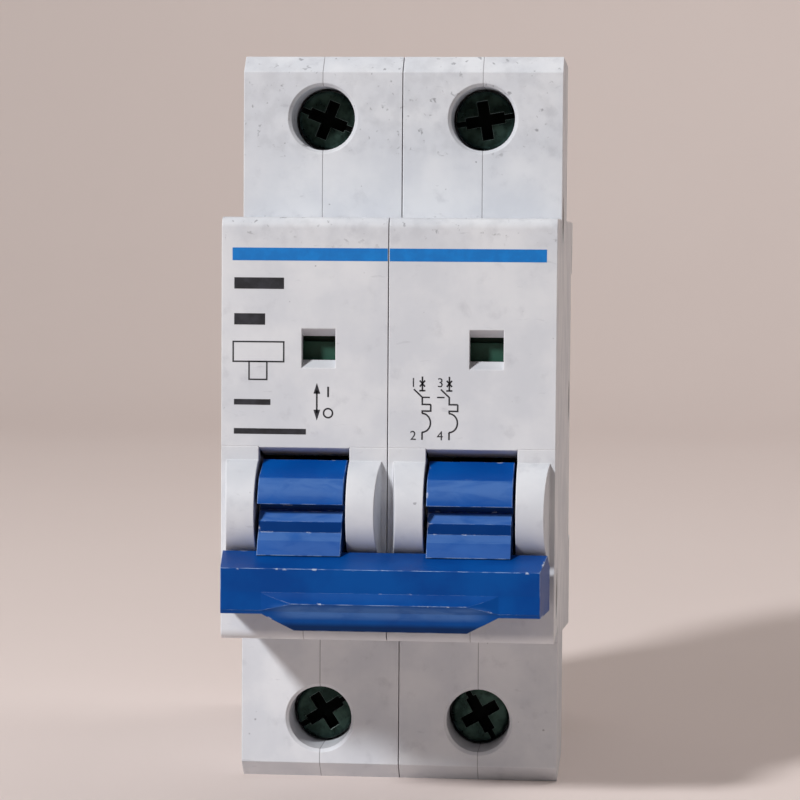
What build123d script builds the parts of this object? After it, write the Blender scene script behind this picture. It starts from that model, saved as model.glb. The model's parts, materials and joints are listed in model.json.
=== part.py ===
"""Two-pole DIN-rail circuit breaker, modelled piece by piece at its real size.

Millimetres. +X is to the right seen from the front, -Y is the front and +Z is up. The breaker
stands on its lower end, and the origin is at the middle of the bottom of its outer box.
Depths are measured forward from the rear face of the case, and y_at() turns them into Y.
Each pole is built about its own middle plane, and every piece of it takes that plane's X.
The handle is modelled in its lower position, with the contacts open.
"""

import os
from math import cos, radians, sin

from build123d import *

# Outer sizes of the case
pole_width = 17.7
pole_gap = 0.1  # between the two poles
case_height = 81.0
nose_height = 45.0
rail_plane_depth = 5.5  # from the rear face to the face that meets the rail
shoulder_above_rail = 44.0
nose_above_shoulder = 16.0
handle_above_nose = 9.0

# Walls
side_wall = 1.2
front_wall = 1.3
end_wall = 1.4
rear_wall = 1.5
case_bevel = 1.8  # top and bottom front edges of the shoulders
nose_round = 1.1
side_recess = 1.0  # recess in the outer side faces beside the terminals
side_recess_depth = 30.0
rear_wall_inner = 6.9  # half-width of the hollow behind the side recesses

# DIN rail seat
rail_height = 35.0
rail_play = 0.6
hook_gap = 1.4  # slot behind the rail plane that takes the 1 mm rail flange
hook_reach = 1.8
hook_thickness = 1.8

# Front cover, flag window and handle slot
cover_depth = 13.5
cover_drop = 24.3  # from the top of the nose down to the cover's lower edge
slot_half_width = 4.85
slot_height = 12.6
slot_bevel = 1.25
slot_bevel_depth = 4.0
window_offset = 1.5  # sideways from the pole's middle
window_width = 3.6
window_height = 4.3
window_drop = 11.7  # from the top of the nose to the top of the window
window_bevel = 0.95

# Handle: toggles, ears and tie bar
hinge_behind_nose = 1.7
hinge_above_nose_foot = 14.0
drum_radius = 5.2
ear_radius = 5.5
ear_outer = 8.3  # half-width over the ears at the nose face
ear_draft = 0.55
toggle_half_width = 4.5
toggle_pin_radius = 1.2
bar_half_width = 17.3
bar_end_draft = 0.85
bar_lip_half_width = 9.0
bar_lip_blend = 3.3
bar_lip = 1.8
bar_top_drop = 5.3  # from the hinge down to the upper front edge
bar_foot_drop = 10.1
tongue_half_width = 3.4
tongue_half_thickness = 1.5
bar_clearance = 0.1

# Handle link and contact arm
crank_radius = 3.2
crank_angle = 110.0  # from straight ahead, upwards
link_length = 25.26
link_angle = 168.64
link_wire_radius = 0.55
link_leg_x = 2.2
arm_pivot_depth = 35.0
arm_above_hinge = 14.0
arm_pin_radius = 1.0
arm_length = 13.0
arm_angle = -70.0
arm_half_thickness = 1.2
arm_half_width = 1.5
arm_eye_radius = 6.5
arm_eye_angle = -60.0
arm_eye_bore = 1.5  # loose on the link wire, so that the linkage stays free
arm_swing = 20.0

# Terminals
screw_inset = 6.9  # from the end of the case to the screw's middle
access_bore = 3.55
mouth_chamfer = 0.35
screw_head_radius = 3.3
screw_head_length = 2.5
screw_head_drop = 5.0  # below the shoulder face
screw_shank_radius = 2.4
slot_cut_width = 0.6
slot_cut_depth = 0.8
cross_cut_width = 1.25
cross_cut_length = 4.4
cross_cut_depth = 1.8
screw_turns = {"pole1_upper": 22, "pole2_upper": -10, "pole1_lower": -33, "pole2_lower": 60}
cage_half_width = 4.85
cage_half_height = 5.1
cage_wall = 1.15
cage_travel = 5.2
strap_thickness = 1.5
strap_half_width = 3.2
strap_depth = 30.5
wire_gap = 8.0
wire_half_width = 4.0
cage_clearance = 0.2

# Trip parts
coil_depth = 19.6
coil_above_hinge = 27.0
coil_wire = 1.0
coil_pitch = 1.85
coil_turns = 6
bobbin_bore = 2.05
bobbin_wall = 0.7
trip_pivot_depth = 40.0
trip_above_hinge = 19.5
shaft_radius = 1.2
fit = 0.03  # radial clearance of a fixed pin
running_fit = 0.06  # radial clearance of a turning part

# Arc chute
plate_count = 7
plate_pitch = 2.0
plate_thickness = 0.8

# Rail clip
clip_half_width = 4.6
clip_thickness = 3.4
clip_travel = 3.5
clip_play = 0.3

# Rivets
rivet_radius = 1.5
rivet_head_radius = 2.6
rivet_head_thickness = 0.5

# Planes and levels that follow from those sizes
shoulder_depth = rail_plane_depth + shoulder_above_rail
nose_depth = shoulder_depth + nose_above_shoulder
total_depth = nose_depth + handle_above_nose
pole_pitch = pole_width + pole_gap
half_width = pole_width / 2
cavity_half_width = half_width - side_wall
nose_foot = (case_height - nose_height) / 2
nose_top = nose_foot + nose_height
cover_foot = nose_top - cover_drop
cover_back = nose_depth - cover_depth
rail_foot = (case_height - rail_height - rail_play) / 2
rail_top = rail_foot + rail_height + rail_play
hinge_depth = nose_depth - hinge_behind_nose
hinge_height = nose_foot + hinge_above_nose_foot
arm_height = hinge_height + arm_above_hinge
trip_height = hinge_height + trip_above_hinge
coil_height = hinge_height + coil_above_hinge
screw_heights = (screw_inset, case_height - screw_inset)
chamber_half_height = cage_half_height + 0.5
chamber_half_width = cage_half_width + cage_clearance
screw_seat_depth = shoulder_depth - screw_head_drop - screw_head_length
strap_front = strap_depth + strap_thickness
cage_rear = strap_depth - wire_gap - 1.5
cage_front = strap_front + 1.2 + 2.0
chamber_front = cage_front + cage_travel + 0.5
chamber_rear = cage_rear - 2.0
mechanism_foot = screw_inset + chamber_half_height
mechanism_top = case_height - mechanism_foot
cavity_rear = rail_plane_depth + rear_wall
window_top = nose_top - window_drop
lower_strap_foot = mechanism_foot + 0.2
strap_bend = 1.2  # thickness of the straps' bent ends
chute_foot = lower_strap_foot + strap_bend + 0.2
runner_height = chute_foot + plate_count * plate_pitch + 0.8
fixed_contact_top = coil_height - 7.6
rivet_places = (
    (12.5, screw_inset - 2.5),
    (12.5, case_height - screw_inset + 2.5),
    (44.5, nose_top),
    (nose_depth - 9.5, nose_foot + 4.3),
    (10.5, case_height / 2),
)


def y_at(depth):
    """Y of a depth measured forward from the rear face."""
    return total_depth / 2 - depth


def polar(depth, height, radius, angle):
    """The point at a radius and an angle, upwards from straight ahead, about a point."""
    return depth + radius * cos(radians(angle)), height + radius * sin(radians(angle))


def strip(start, end, half):
    """The four corners of a straight limb between two (depth, height) points."""
    length = ((end[0] - start[0]) ** 2 + (end[1] - start[1]) ** 2) ** 0.5
    across = ((start[1] - end[1]) / length * half, (end[0] - start[0]) / length * half)
    return [
        (start[0] + across[0], start[1] + across[1]),
        (end[0] + across[0], end[1] + across[1]),
        (end[0] - across[0], end[1] - across[1]),
        (start[0] - across[0], start[1] - across[1]),
    ]


def plate(points, xs, mode=Mode.ADD):
    """A flat plate: an outline of (depth, height) points, carried from one X to another."""
    with BuildSketch(Plane.YZ.offset(xs[0])) as outline:
        with BuildLine():
            Polyline(*[(y_at(depth), height) for depth, height in points], close=True)
        make_face()
    extrude(outline.sketch, amount=xs[1] - xs[0], mode=mode)


def block(xs, depths, heights, mode=Mode.ADD):
    """A box between two X values, two depths and two heights."""
    middle = (sum(xs) / 2, y_at(sum(depths) / 2), sum(heights) / 2)
    with Locations(middle):
        Box(
            abs(xs[1] - xs[0]),
            abs(depths[1] - depths[0]),
            abs(heights[1] - heights[0]),
            mode=mode,
        )


def rod_x(radius, xs, depth, height, mode=Mode.ADD):
    """A round rod or bore along X."""
    with Locations(Location((sum(xs) / 2, y_at(depth), height), (0, 90, 0))):
        Cylinder(radius, abs(xs[1] - xs[0]), mode=mode)


def rod_y(radius, x, depths, height, mode=Mode.ADD):
    """A round rod or bore along Y."""
    with Locations(Location((x, y_at(sum(depths) / 2), height), (90, 0, 0))):
        Cylinder(radius, abs(depths[1] - depths[0]), mode=mode)


def edges_along_x(piece, depth, height):
    """The edges of a piece that run along X at one depth and height."""
    return [
        edge
        for edge in piece.edges().filter_by(Axis.X)
        if abs(edge.center().Y - y_at(depth)) < 0.01 and abs(edge.center().Z - height) < 0.01
    ]


def write(piece, node):
    """Label a finished piece and write it to its own file."""
    piece.part.label = node
    export_step(piece.part, f"parts/{node}.step")


def rivet_sink(depth, height):
    """How far below the case's side face a rivet head is seated: deeper in the side recesses."""
    in_recess = depth < side_recess_depth and not nose_foot < height < nose_top
    return side_recess + 0.3 if in_recess else 0.7


# Side outline of the case: rail feet and hook at the rear, two shoulders and the nose in front
case_outline = [
    (0.0, 0.0),
    (shoulder_depth - case_bevel, 0.0),
    (shoulder_depth, case_bevel),
    (shoulder_depth, nose_foot),
    (nose_depth, nose_foot),
    (nose_depth, nose_top),
    (shoulder_depth, nose_top),
    (shoulder_depth, case_height - case_bevel),
    (shoulder_depth - case_bevel, case_height),
    (2.0, case_height),
    (0.0, case_height - 2.0),
    (0.0, rail_top + 1.2),
    (rail_plane_depth - hook_gap - hook_thickness, rail_top - hook_reach),
    (rail_plane_depth - hook_gap, rail_top - hook_reach),
    (rail_plane_depth - hook_gap, rail_top + hook_reach),
    (rail_plane_depth, rail_top + hook_reach),
    (rail_plane_depth, rail_foot),
    (0.0, rail_foot),
]


def case_half(x0, side):
    """One half-shell of a pole: side is -1 for the left half and 1 for the right half."""
    outer = x0 + side * half_width
    inner = x0 + side * cavity_half_width
    next_to_pole = x0 * side < 0
    with BuildPart() as half:
        plate(case_outline, (x0, outer))
        fillet(edges_along_x(half, nose_depth, nose_foot), nose_round)
        # Hollows for the mechanism, the nose and the two terminal cages
        block(
            (x0, inner),
            (side_recess_depth + 1, shoulder_depth - front_wall),
            (mechanism_foot, mechanism_top),
            mode=Mode.SUBTRACT,
        )
        block(
            (x0, x0 + side * rear_wall_inner),
            (cavity_rear, side_recess_depth + 1.5),
            (mechanism_foot, mechanism_top),
            mode=Mode.SUBTRACT,
        )
        block(
            (x0, inner),
            (shoulder_depth - front_wall - 1, nose_depth - front_wall),
            (nose_foot + front_wall, nose_top - front_wall),
            mode=Mode.SUBTRACT,
        )
        for screw_height in screw_heights:
            outward = -1 if screw_height < case_height / 2 else 1
            end_face = 0.0 if outward < 0 else case_height
            block(
                (x0, x0 + side * chamber_half_width),
                (chamber_rear, chamber_front),
                (end_face - outward * end_wall, screw_height - outward * chamber_half_height),
                mode=Mode.SUBTRACT,
            )
            # Wire entry, screw seat and screwdriver bore
            block(
                (x0, x0 + side * wire_half_width),
                (cage_rear + 1.5, strap_depth),
                (end_face - outward * (end_wall + 1), end_face + outward),
                mode=Mode.SUBTRACT,
            )
            rod_y(
                screw_shank_radius + cage_clearance,
                x0,
                (chamber_front - 1, screw_seat_depth + 1),
                screw_height,
                mode=Mode.SUBTRACT,
            )
            rod_y(
                access_bore,
                x0,
                (screw_seat_depth, shoulder_depth + 1),
                screw_height,
                mode=Mode.SUBTRACT,
            )
            mouth = (x0, y_at(shoulder_depth - mouth_chamfer / 2), screw_height)
            with Locations(Location(mouth, (90, 0, 0))):
                Cone(access_bore, access_bore + mouth_chamfer, mouth_chamfer, mode=Mode.SUBTRACT)
        # The front cover's place, and the handle slot below it
        block(
            (x0, x0 + side * (half_width + 1)),
            (cover_back, nose_depth + 1),
            (cover_foot, nose_top + 1),
            mode=Mode.SUBTRACT,
        )
        block(
            (x0, x0 + side * slot_half_width),
            (nose_depth - front_wall - 1, nose_depth + 1),
            (cover_foot - slot_height, cover_foot + 1),
            mode=Mode.SUBTRACT,
        )
        # The round ear beside the toggle, with its drafted outer side
        rod_x(ear_radius, (x0 + side * slot_half_width, x0 + side * ear_outer), hinge_depth, hinge_height)
        ear_front = hinge_depth + ear_radius + 0.2
        with BuildSketch(Plane.XY.offset(hinge_height - ear_radius - 0.5)) as draft:
            with BuildLine():
                Polyline(
                    (x0 + side * ear_outer, y_at(nose_depth)),
                    (x0 + side * (ear_outer - ear_draft), y_at(ear_front)),
                    (x0 + side * (ear_outer + 0.2), y_at(ear_front)),
                    close=True,
                )
            make_face()
        extrude(draft.sketch, amount=2 * ear_radius + 1, mode=Mode.SUBTRACT)
        # Bosses and bores for the toggle pin, the arm pin and the trip shaft
        boss_start = x0 + side * (cavity_half_width - 2)
        rod_x(2.6, (boss_start, inner), arm_pivot_depth, arm_height)
        rod_x(2.6, (boss_start, inner), trip_pivot_depth, trip_height)
        pin_end = x0 + side * cavity_half_width
        rod_x(toggle_pin_radius + fit, (x0, pin_end), hinge_depth, hinge_height, mode=Mode.SUBTRACT)
        rod_x(arm_pin_radius + fit, (x0, pin_end), arm_pivot_depth, arm_height, mode=Mode.SUBTRACT)
        shaft_end = outer + side if next_to_pole else pin_end
        rod_x(
            shaft_radius + running_fit,
            (x0, shaft_end),
            trip_pivot_depth,
            trip_height,
            mode=Mode.SUBTRACT,
        )
        # Rivet bosses and holes, counterbored where the heads lie
        for depth, height in rivet_places:
            rod_x(2.9, (x0, inner), depth, height)
        for depth, height in rivet_places:
            rod_x(rivet_radius + fit, (x0, outer + side), depth, height, mode=Mode.SUBTRACT)
            if not next_to_pole:
                floor = outer - side * rivet_sink(depth, height)
                rod_x(rivet_head_radius + 0.2, (floor, outer + side), depth, height, mode=Mode.SUBTRACT)
        # Rail clip channel, its retaining lips and the spring's stop
        clip_rear = rail_plane_depth - 0.5 - clip_thickness - clip_play
        block(
            (x0, x0 + side * (clip_half_width + clip_play)),
            (clip_rear, rail_plane_depth - 0.5 + clip_play),
            (-1, rail_foot + 1),
            mode=Mode.SUBTRACT,
        )
        block(
            (x0, x0 + side * (clip_half_width - 0.8)),
            (-1, clip_rear + 1),
            (-1, rail_foot + 1),
            mode=Mode.SUBTRACT,
        )
        block(
            (x0, x0 + side * clip_stop_half_width),
            (clip_rear, rail_plane_depth + 0.5),
            (clip_stop, clip_stop + clip_stop_height),
        )
        # Recesses in the outer side faces beside the terminals
        if not next_to_pole:
            recess_floor = (outer - side * side_recess, outer + side)
            block(recess_floor, (-1, side_recess_depth), (nose_top, case_height + 1), mode=Mode.SUBTRACT)
            plate(
                [
                    (-1, -1),
                    (side_recess_depth, -1),
                    (side_recess_depth, nose_foot - 3.4),
                    (-1, nose_foot - 6.8),
                ],
                recess_floor,
                mode=Mode.SUBTRACT,
            )
    return half


def front_cover(x0):
    """The cap that carries the label: front, top and sides of the upper nose of one pole."""
    left, right = x0 - half_width, x0 + half_width
    with BuildPart() as cover:
        block((left, right), (cover_back, nose_depth), (cover_foot, nose_top))
        fillet(edges_along_x(cover, nose_depth, nose_top), nose_round)
        block(
            (x0 - cavity_half_width, x0 + cavity_half_width),
            (cover_back - 1, nose_depth - front_wall),
            (cover_foot - 1, nose_top - front_wall),
            mode=Mode.SUBTRACT,
        )
        # Sloping upper edge of the handle slot
        half_lip = slot_half_width - 0.05
        plate(
            [
                (nose_depth, cover_foot + 1),
                (nose_depth, cover_foot - 0.1),
                (nose_depth - slot_bevel_depth, cover_foot - slot_bevel),
                (nose_depth - slot_bevel_depth, cover_foot + 1),
            ],
            (x0 - half_lip, x0 + half_lip),
        )
        # Window with sloping upper and lower edges, and the rails that guide the flag
        window_x = (x0 + window_offset - window_width / 2, x0 + window_offset + window_width / 2)
        plate(
            [
                (nose_depth + 0.1, window_top),
                (nose_depth - front_wall - 0.1, window_top - window_bevel),
                (nose_depth - front_wall - 0.1, window_top - window_height + window_bevel),
                (nose_depth + 0.1, window_top - window_height),
            ],
            window_x,
            mode=Mode.SUBTRACT,
        )
        for edge in (-1, 1):
            rail = x0 + window_offset + edge * (flag_half_width + 0.2)
            depths = (flag_depth, nose_depth - front_wall)
            block((rail, rail + edge), depths, (window_top - 6.0, nose_top - 2))
    return cover


def toggle(x0):
    """The drum that turns in the handle slot, its stepped grip and its tongue into the tie bar."""
    with BuildPart() as drum:
        rod_x(drum_radius, (x0 - toggle_half_width, x0 + toggle_half_width), hinge_depth, hinge_height)
        # Flat upper facet
        facet_top = polar(hinge_depth, hinge_height, drum_radius, 86)
        facet_foot = polar(hinge_depth, hinge_height, drum_radius, 44)
        plate(
            [facet_top, facet_foot, (facet_foot[0], facet_top[1] + 1), (facet_top[0], facet_top[1] + 1)],
            (x0 - toggle_half_width - 1, x0 + toggle_half_width + 1),
            mode=Mode.SUBTRACT,
        )
        # The grip hangs below the drum's front in steps
        block(
            (x0 - toggle_half_width - 1, x0 + toggle_half_width + 1),
            (hinge_depth + 2.8, nose_depth + handle_above_nose),
            (hinge_height - drum_radius, hinge_height + 0.7),
            mode=Mode.SUBTRACT,
        )
        plate(
            [
                (hinge_depth + 2.8, hinge_height + 0.6),
                (hinge_depth + drum_radius, hinge_height + 0.9),
                (hinge_depth + drum_radius, hinge_height - 1),
            ],
            (x0 - toggle_half_width - 1, x0 + toggle_half_width + 1),
            mode=Mode.SUBTRACT,
        )
        plate(
            [
                (hinge_depth + 2.5, hinge_height + 0.05),
                (hinge_depth + 3.7, hinge_height + 0.05),
                (hinge_depth + 4.7, hinge_height - 0.95),
                (hinge_depth + 4.8, hinge_height - 2.1),
                (hinge_depth + 5.6, hinge_height - 2.9),
                (hinge_depth + 6.3, hinge_height - 4.4),
                (bar_top_rear[0] + 0.2, bar_top_rear[1] + 0.02),
                (hinge_depth + 3.0, hinge_height - 4.0),
            ],
            (x0 - toggle_half_width + 0.1, x0 + toggle_half_width - 0.1),
        )
        plate(
            strip(tongue_start, tongue_end, tongue_half_thickness),
            (x0 - tongue_half_width, x0 + tongue_half_width),
        )
        # Bore for the pin, and room for the link's leg and for the return spring
        pin_bore = toggle_pin_radius + running_fit
        rod_x(pin_bore, (x0 - 9, x0 + 9), hinge_depth, hinge_height, mode=Mode.SUBTRACT)
        for near, far in ((1.3, 3.1), (-1.3, -3.3)):
            block(
                (x0 + near, x0 + far),
                (hinge_depth - drum_radius - 1, hinge_depth + 0.3),
                (hinge_height - drum_radius, hinge_height + drum_radius + 1),
                mode=Mode.SUBTRACT,
            )
        rod_x(2.5, (x0 - 3.3, x0 - 1.3), hinge_depth, hinge_height, mode=Mode.SUBTRACT)
        crank = polar(hinge_depth, hinge_height, crank_radius, crank_angle)
        rod_x(link_wire_radius + running_fit, (x0 - 2.2, x0 + 2), *crank, mode=Mode.SUBTRACT)
    return drum


# The toggle's tongue into the tie bar
tongue_start = (hinge_depth + 2.6, hinge_height - 2.0)
tongue_end = (hinge_depth + 6.0, hinge_height - 8.6)


# Corners of the tie bar behind its upper face, kept clear of the ears
bar_top_rear = polar(hinge_depth, hinge_height, ear_radius + 0.7, -42)
bar_mid_rear = polar(hinge_depth, hinge_height, ear_radius + 0.7, -52)
bar_foot_rear = polar(hinge_depth, hinge_height, ear_radius + 0.7, -62)


def tie_bar():
    """The bar that joins the two toggles, with a finger lip along the middle of its lower edge."""
    top_front = (total_depth - 0.5, hinge_height - bar_top_drop)
    face_foot = (total_depth - 0.7, hinge_height - bar_top_drop - 2.5)
    end_foot = hinge_height - bar_foot_drop
    lip_foot = end_foot - bar_lip
    lip_edge = (total_depth, face_foot[1] - 1.1)
    rear = bar_foot_rear[0]
    with BuildPart() as bar:
        with BuildSketch(Plane.YZ.offset(-bar_half_width)) as outline:
            with BuildLine():
                Polyline(
                    (y_at(bar_top_rear[0]), bar_top_rear[1]),
                    (y_at(top_front[0]), top_front[1]),
                    (y_at(face_foot[0]), face_foot[1]),
                )
                ThreePointArc(
                    (y_at(face_foot[0]), face_foot[1]),
                    (y_at(total_depth - 0.35), face_foot[1] - 0.65),
                    (y_at(lip_edge[0]), lip_edge[1]),
                )
                Polyline(
                    (y_at(lip_edge[0]), lip_edge[1]),
                    (y_at(total_depth - 0.8), end_foot + 0.3),
                    (y_at(total_depth - 1.8), lip_foot),
                    (y_at(rear + 0.9), lip_foot),
                    (y_at(rear), end_foot),
                    (y_at(rear), bar_foot_rear[1]),
                )
                ThreePointArc(
                    (y_at(rear), bar_foot_rear[1]),
                    (y_at(bar_mid_rear[0]), bar_mid_rear[1]),
                    (y_at(bar_top_rear[0]), bar_top_rear[1]),
                )
            make_face()
        extrude(amount=2 * bar_half_width)
        for side in (-1, 1):
            lip_end = side * bar_lip_half_width
            lip_fade = side * (bar_lip_half_width + bar_lip_blend)
            beyond = side * (bar_half_width + 1)
            # The lip fades out towards the ends, in height
            with BuildSketch(Plane.XZ.offset(-y_at(total_depth + 1))) as fade:
                with BuildLine():
                    Polyline(
                        (lip_end, lip_foot - 1),
                        (lip_end, lip_foot),
                        (lip_fade, end_foot),
                        (beyond, end_foot),
                        (beyond, lip_foot - 1),
                        close=True,
                    )
                make_face()
            extrude(fade.sketch, amount=-(total_depth + 2 - rear), mode=Mode.SUBTRACT)
            # and in depth, where the front face is a little hollow
            with BuildSketch(Plane.XY.offset(lip_foot - 1)) as thin:
                with BuildLine():
                    Polyline(
                        (lip_end, y_at(total_depth + 1)),
                        (lip_end, y_at(total_depth)),
                        (lip_fade, y_at(total_depth - 0.7)),
                        (beyond, y_at(total_depth - 0.7)),
                        (beyond, y_at(total_depth + 1)),
                        close=True,
                    )
                make_face()
            extrude(thin.sketch, amount=face_foot[1] - lip_foot + 1, mode=Mode.SUBTRACT)
            # The end faces lean inwards towards the front
            with BuildSketch(Plane.XY.offset(lip_foot - 1)) as lean:
                with BuildLine():
                    Polyline(
                        (side * bar_half_width, y_at(rear)),
                        (side * (bar_half_width - bar_end_draft), y_at(total_depth + 0.2)),
                        (beyond, y_at(total_depth + 0.2)),
                        (beyond, y_at(rear)),
                        close=True,
                    )
                make_face()
            extrude(lean.sketch, amount=12, mode=Mode.SUBTRACT)
            # Pocket for the toggle's tongue
            x0 = side * pole_pitch / 2
            plate(
                strip(
                    tongue_start,
                    (tongue_end[0] + 0.05, tongue_end[1] - 0.1),
                    tongue_half_thickness + bar_clearance,
                ),
                (x0 - tongue_half_width - bar_clearance, x0 + tongue_half_width + bar_clearance),
                mode=Mode.SUBTRACT,
            )
    return bar


def toggle_spring(x0):
    """Torsion spring round the toggle pin, with one leg against the inside of the case."""
    wire, mean = 0.3, 1.75
    with BuildPart() as spring:
        for turn in range(3):
            with Locations(Location((x0 - 1.75 - turn * 0.55, y_at(hinge_depth), hinge_height), (0, 90, 0))):
                Torus(mean, wire)
        leg_end = (hinge_depth - 6.5, hinge_height - 4.5)
        leg_start = (hinge_depth, hinge_height - mean)
        plate(strip(leg_start, leg_end, 0.25), (x0 - 2.0, x0 - 1.5))
    return spring


def toggle_link(x0):
    """Bent wire between the toggle's crank hole and the loose eye of the contact arm."""
    crank = polar(hinge_depth, hinge_height, crank_radius, crank_angle)
    eye = polar(*crank, link_length, link_angle)
    leg = x0 + link_leg_x
    with BuildPart() as link:
        with BuildLine() as route:
            FilletPolyline(
                (x0 - 1.9, y_at(crank[0]), crank[1]),
                (leg, y_at(crank[0]), crank[1]),
                (leg, y_at(eye[0]), eye[1]),
                (x0 - 1.9, y_at(eye[0]), eye[1]),
                radius=0.7,
            )
        start = Plane(origin=(x0 - 1.9, y_at(crank[0]), crank[1]), z_dir=(1, 0, 0))
        with BuildSketch(start) as section:
            Circle(link_wire_radius)
        sweep(section.sketch, path=route.line)
    return link


def contact_arm(x0):
    """Moving contact arm: hub, loose eye for the link, and a contact button at the tip."""
    xs = (x0 - arm_half_thickness, x0 + arm_half_thickness)
    pivot = (arm_pivot_depth, arm_height)
    tip = polar(*pivot, arm_length, arm_angle)
    eye = polar(*pivot, arm_eye_radius, arm_eye_angle)
    with BuildPart() as arm:
        rod_x(2.8, xs, *pivot)
        plate(strip(pivot, tip, arm_half_width), xs)
        rod_x(arm_half_width, xs, *tip)
        rod_x(2.5, xs, *eye)
        # Contact button on the rear side of the tip
        rear = polar(*tip, arm_half_width + 0.9, arm_angle - 90)
        seat = polar(*tip, arm_half_width - 0.5, arm_angle - 90)
        plate(strip(seat, rear, 1.4), (x0 - 1.6, x0 + 1.6))
        rod_x(arm_pin_radius + running_fit, (x0 - 3, x0 + 3), *pivot, mode=Mode.SUBTRACT)
        rod_x(arm_eye_bore, (x0 - 3, x0 + 3), *eye, mode=Mode.SUBTRACT)
    return arm


def contact_spring(x0):
    """Torsion spring beside the arm's hub that opens the contacts."""
    with BuildPart() as spring:
        for turn in range(3):
            with Locations(
                Location((x0 - 1.9 - turn * 0.6, y_at(arm_pivot_depth), arm_height), (0, 90, 0))
            ):
                Torus(1.7, 0.33)
        start = (arm_pivot_depth, arm_height + 1.7)
        end = (cavity_rear + 12.0, arm_height + 1.7)
        plate(strip(start, end, 0.28), (x0 - 3.4, x0 - 2.85))
    return spring


def fixed_contact(x0):
    """Fixed contact: carrier under the coil, a button facing the arm, and the arc runner."""
    wide = (x0 - 2.5, x0 + 2.5)
    closed_tip = polar(arm_pivot_depth, arm_height, arm_length, arm_angle - arm_swing)
    button_face = closed_tip[0] - arm_half_width - 0.9 - 0.1
    limb_front = button_face - 1.2
    with BuildPart() as contact:
        plate(
            [
                (14.0, fixed_contact_top),
                (limb_front, fixed_contact_top),
                (limb_front, runner_height),
                (10.0, runner_height),
                (10.0, runner_height + strap_bend),
                (limb_front - strap_bend, runner_height + strap_bend),
                (limb_front - strap_bend, fixed_contact_top - strap_bend),
                (14.0, fixed_contact_top - strap_bend),
            ],
            wide,
        )
        rod_y(1.8, x0, (limb_front - 0.5, button_face), closed_tip[1] + 0.3)
    return contact


def arc_plates(x0):
    """Stack of notched steel splitter plates."""
    with BuildPart() as stack:
        for index in range(plate_count):
            foot = chute_foot + index * plate_pitch
            with BuildSketch(Plane.XY.offset(foot)) as outline:
                with BuildLine():
                    Polyline(
                        (x0 - 5.8, y_at(9.5)),
                        (x0 + 5.8, y_at(9.5)),
                        (x0 + 5.8, y_at(26.5)),
                        (x0 + 2.6, y_at(26.5)),
                        (x0 + 0.5, y_at(19.0)),
                        (x0 - 0.5, y_at(19.0)),
                        (x0 - 2.6, y_at(26.5)),
                        (x0 - 5.8, y_at(26.5)),
                        close=True,
                    )
                make_face()
            extrude(outline.sketch, amount=plate_thickness)
    return stack


def arc_frame(x0):
    """Fibre frame that holds the splitter plates: two sides and a vented back."""
    foot, top = chute_foot - 0.1, chute_foot + plate_count * plate_pitch
    with BuildPart() as frame:
        for side in (-1, 1):
            block((x0 + side * 5.8, x0 + side * 6.7), (8.3, 27.0), (foot, top))
        block((x0 - 6.7, x0 + 6.7), (7.5, 8.5), (foot, top))
        for index in range(4):
            middle = foot + 2.2 + index * 3.2
            block((x0 - 4.5, x0 + 4.5), (7.0, 9.0), (middle - 0.5, middle + 0.5), mode=Mode.SUBTRACT)
    return frame


def bobbin(x0):
    """Spool inside the coil."""
    front, rear = coil_depth + 6.7, coil_depth - 6.7
    with BuildPart() as spool:
        rod_y(bobbin_bore + bobbin_wall, x0, (rear, front), coil_height)
        rod_y(5.3, x0, (rear, rear + 0.9), coil_height)
        rod_y(5.3, x0, (front - 0.9, front), coil_height)
        rod_y(bobbin_bore, x0, (rear - 1, front + 1), coil_height, mode=Mode.SUBTRACT)
    return spool


def coil(x0):
    """Magnet coil: close turns of thick copper wire, with a lead up and a lead down."""
    inner = bobbin_bore + bobbin_wall + 0.05
    mean = inner + coil_wire
    start = coil_depth - coil_turns * coil_pitch / 2
    with BuildPart() as winding:
        rod_y(mean, x0, (start, start + coil_turns * coil_pitch), coil_height)
        for turn in range(coil_turns):
            middle = start + (turn + 0.5) * coil_pitch
            with Locations(Location((x0, y_at(middle), coil_height), (90, 0, 0))):
                Torus(mean, coil_wire * 0.92)
        rod_y(inner, x0, (start - 1, start + coil_turns * coil_pitch + 1), coil_height, mode=Mode.SUBTRACT)
        # Flattened ends of the wire, one to the strap above and one to the contact below
        lead = (x0 + mean - 0.75, x0 + mean + 0.75)
        for turn, end in ((0, coil_strap_foot), (coil_turns - 1, fixed_contact_top)):
            middle = start + (turn + 0.5) * coil_pitch
            block(lead, (middle - 0.6, middle + 0.6), (coil_height, end))
    return winding


def yoke(x0):
    """Steel frame round the coil, with the fixed core pressed into its front."""
    rear, front = coil_depth - 8.0, coil_depth + 8.0
    low, high = coil_height - 6.6, coil_height + 6.6
    with BuildPart() as frame:
        block((x0 - 2.7, x0 + 2.7), (rear, front), (low, high))
        block(
            (x0 - 3, x0 + 3),
            (rear + 1.2, front - 1.2),
            (low + 1.2, high - 1.2),
            mode=Mode.SUBTRACT,
        )
        rod_y(bobbin_bore - fit, x0, (coil_depth + 1.6, front), coil_height)
        rod_y(0.8, x0, (coil_depth + 1, front + 1), coil_height, mode=Mode.SUBTRACT)
    return frame


def plunger(x0):
    """Armature inside the coil, with the striker pin that reaches the trip lever."""
    with BuildPart() as striker:
        rod_y(bobbin_bore - running_fit, x0, (coil_depth - 6.2, coil_depth - 1.0), coil_height)
        rod_y(0.7, x0, (coil_depth - 1.2, tab_rear - 0.4), coil_height)
    return striker


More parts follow.
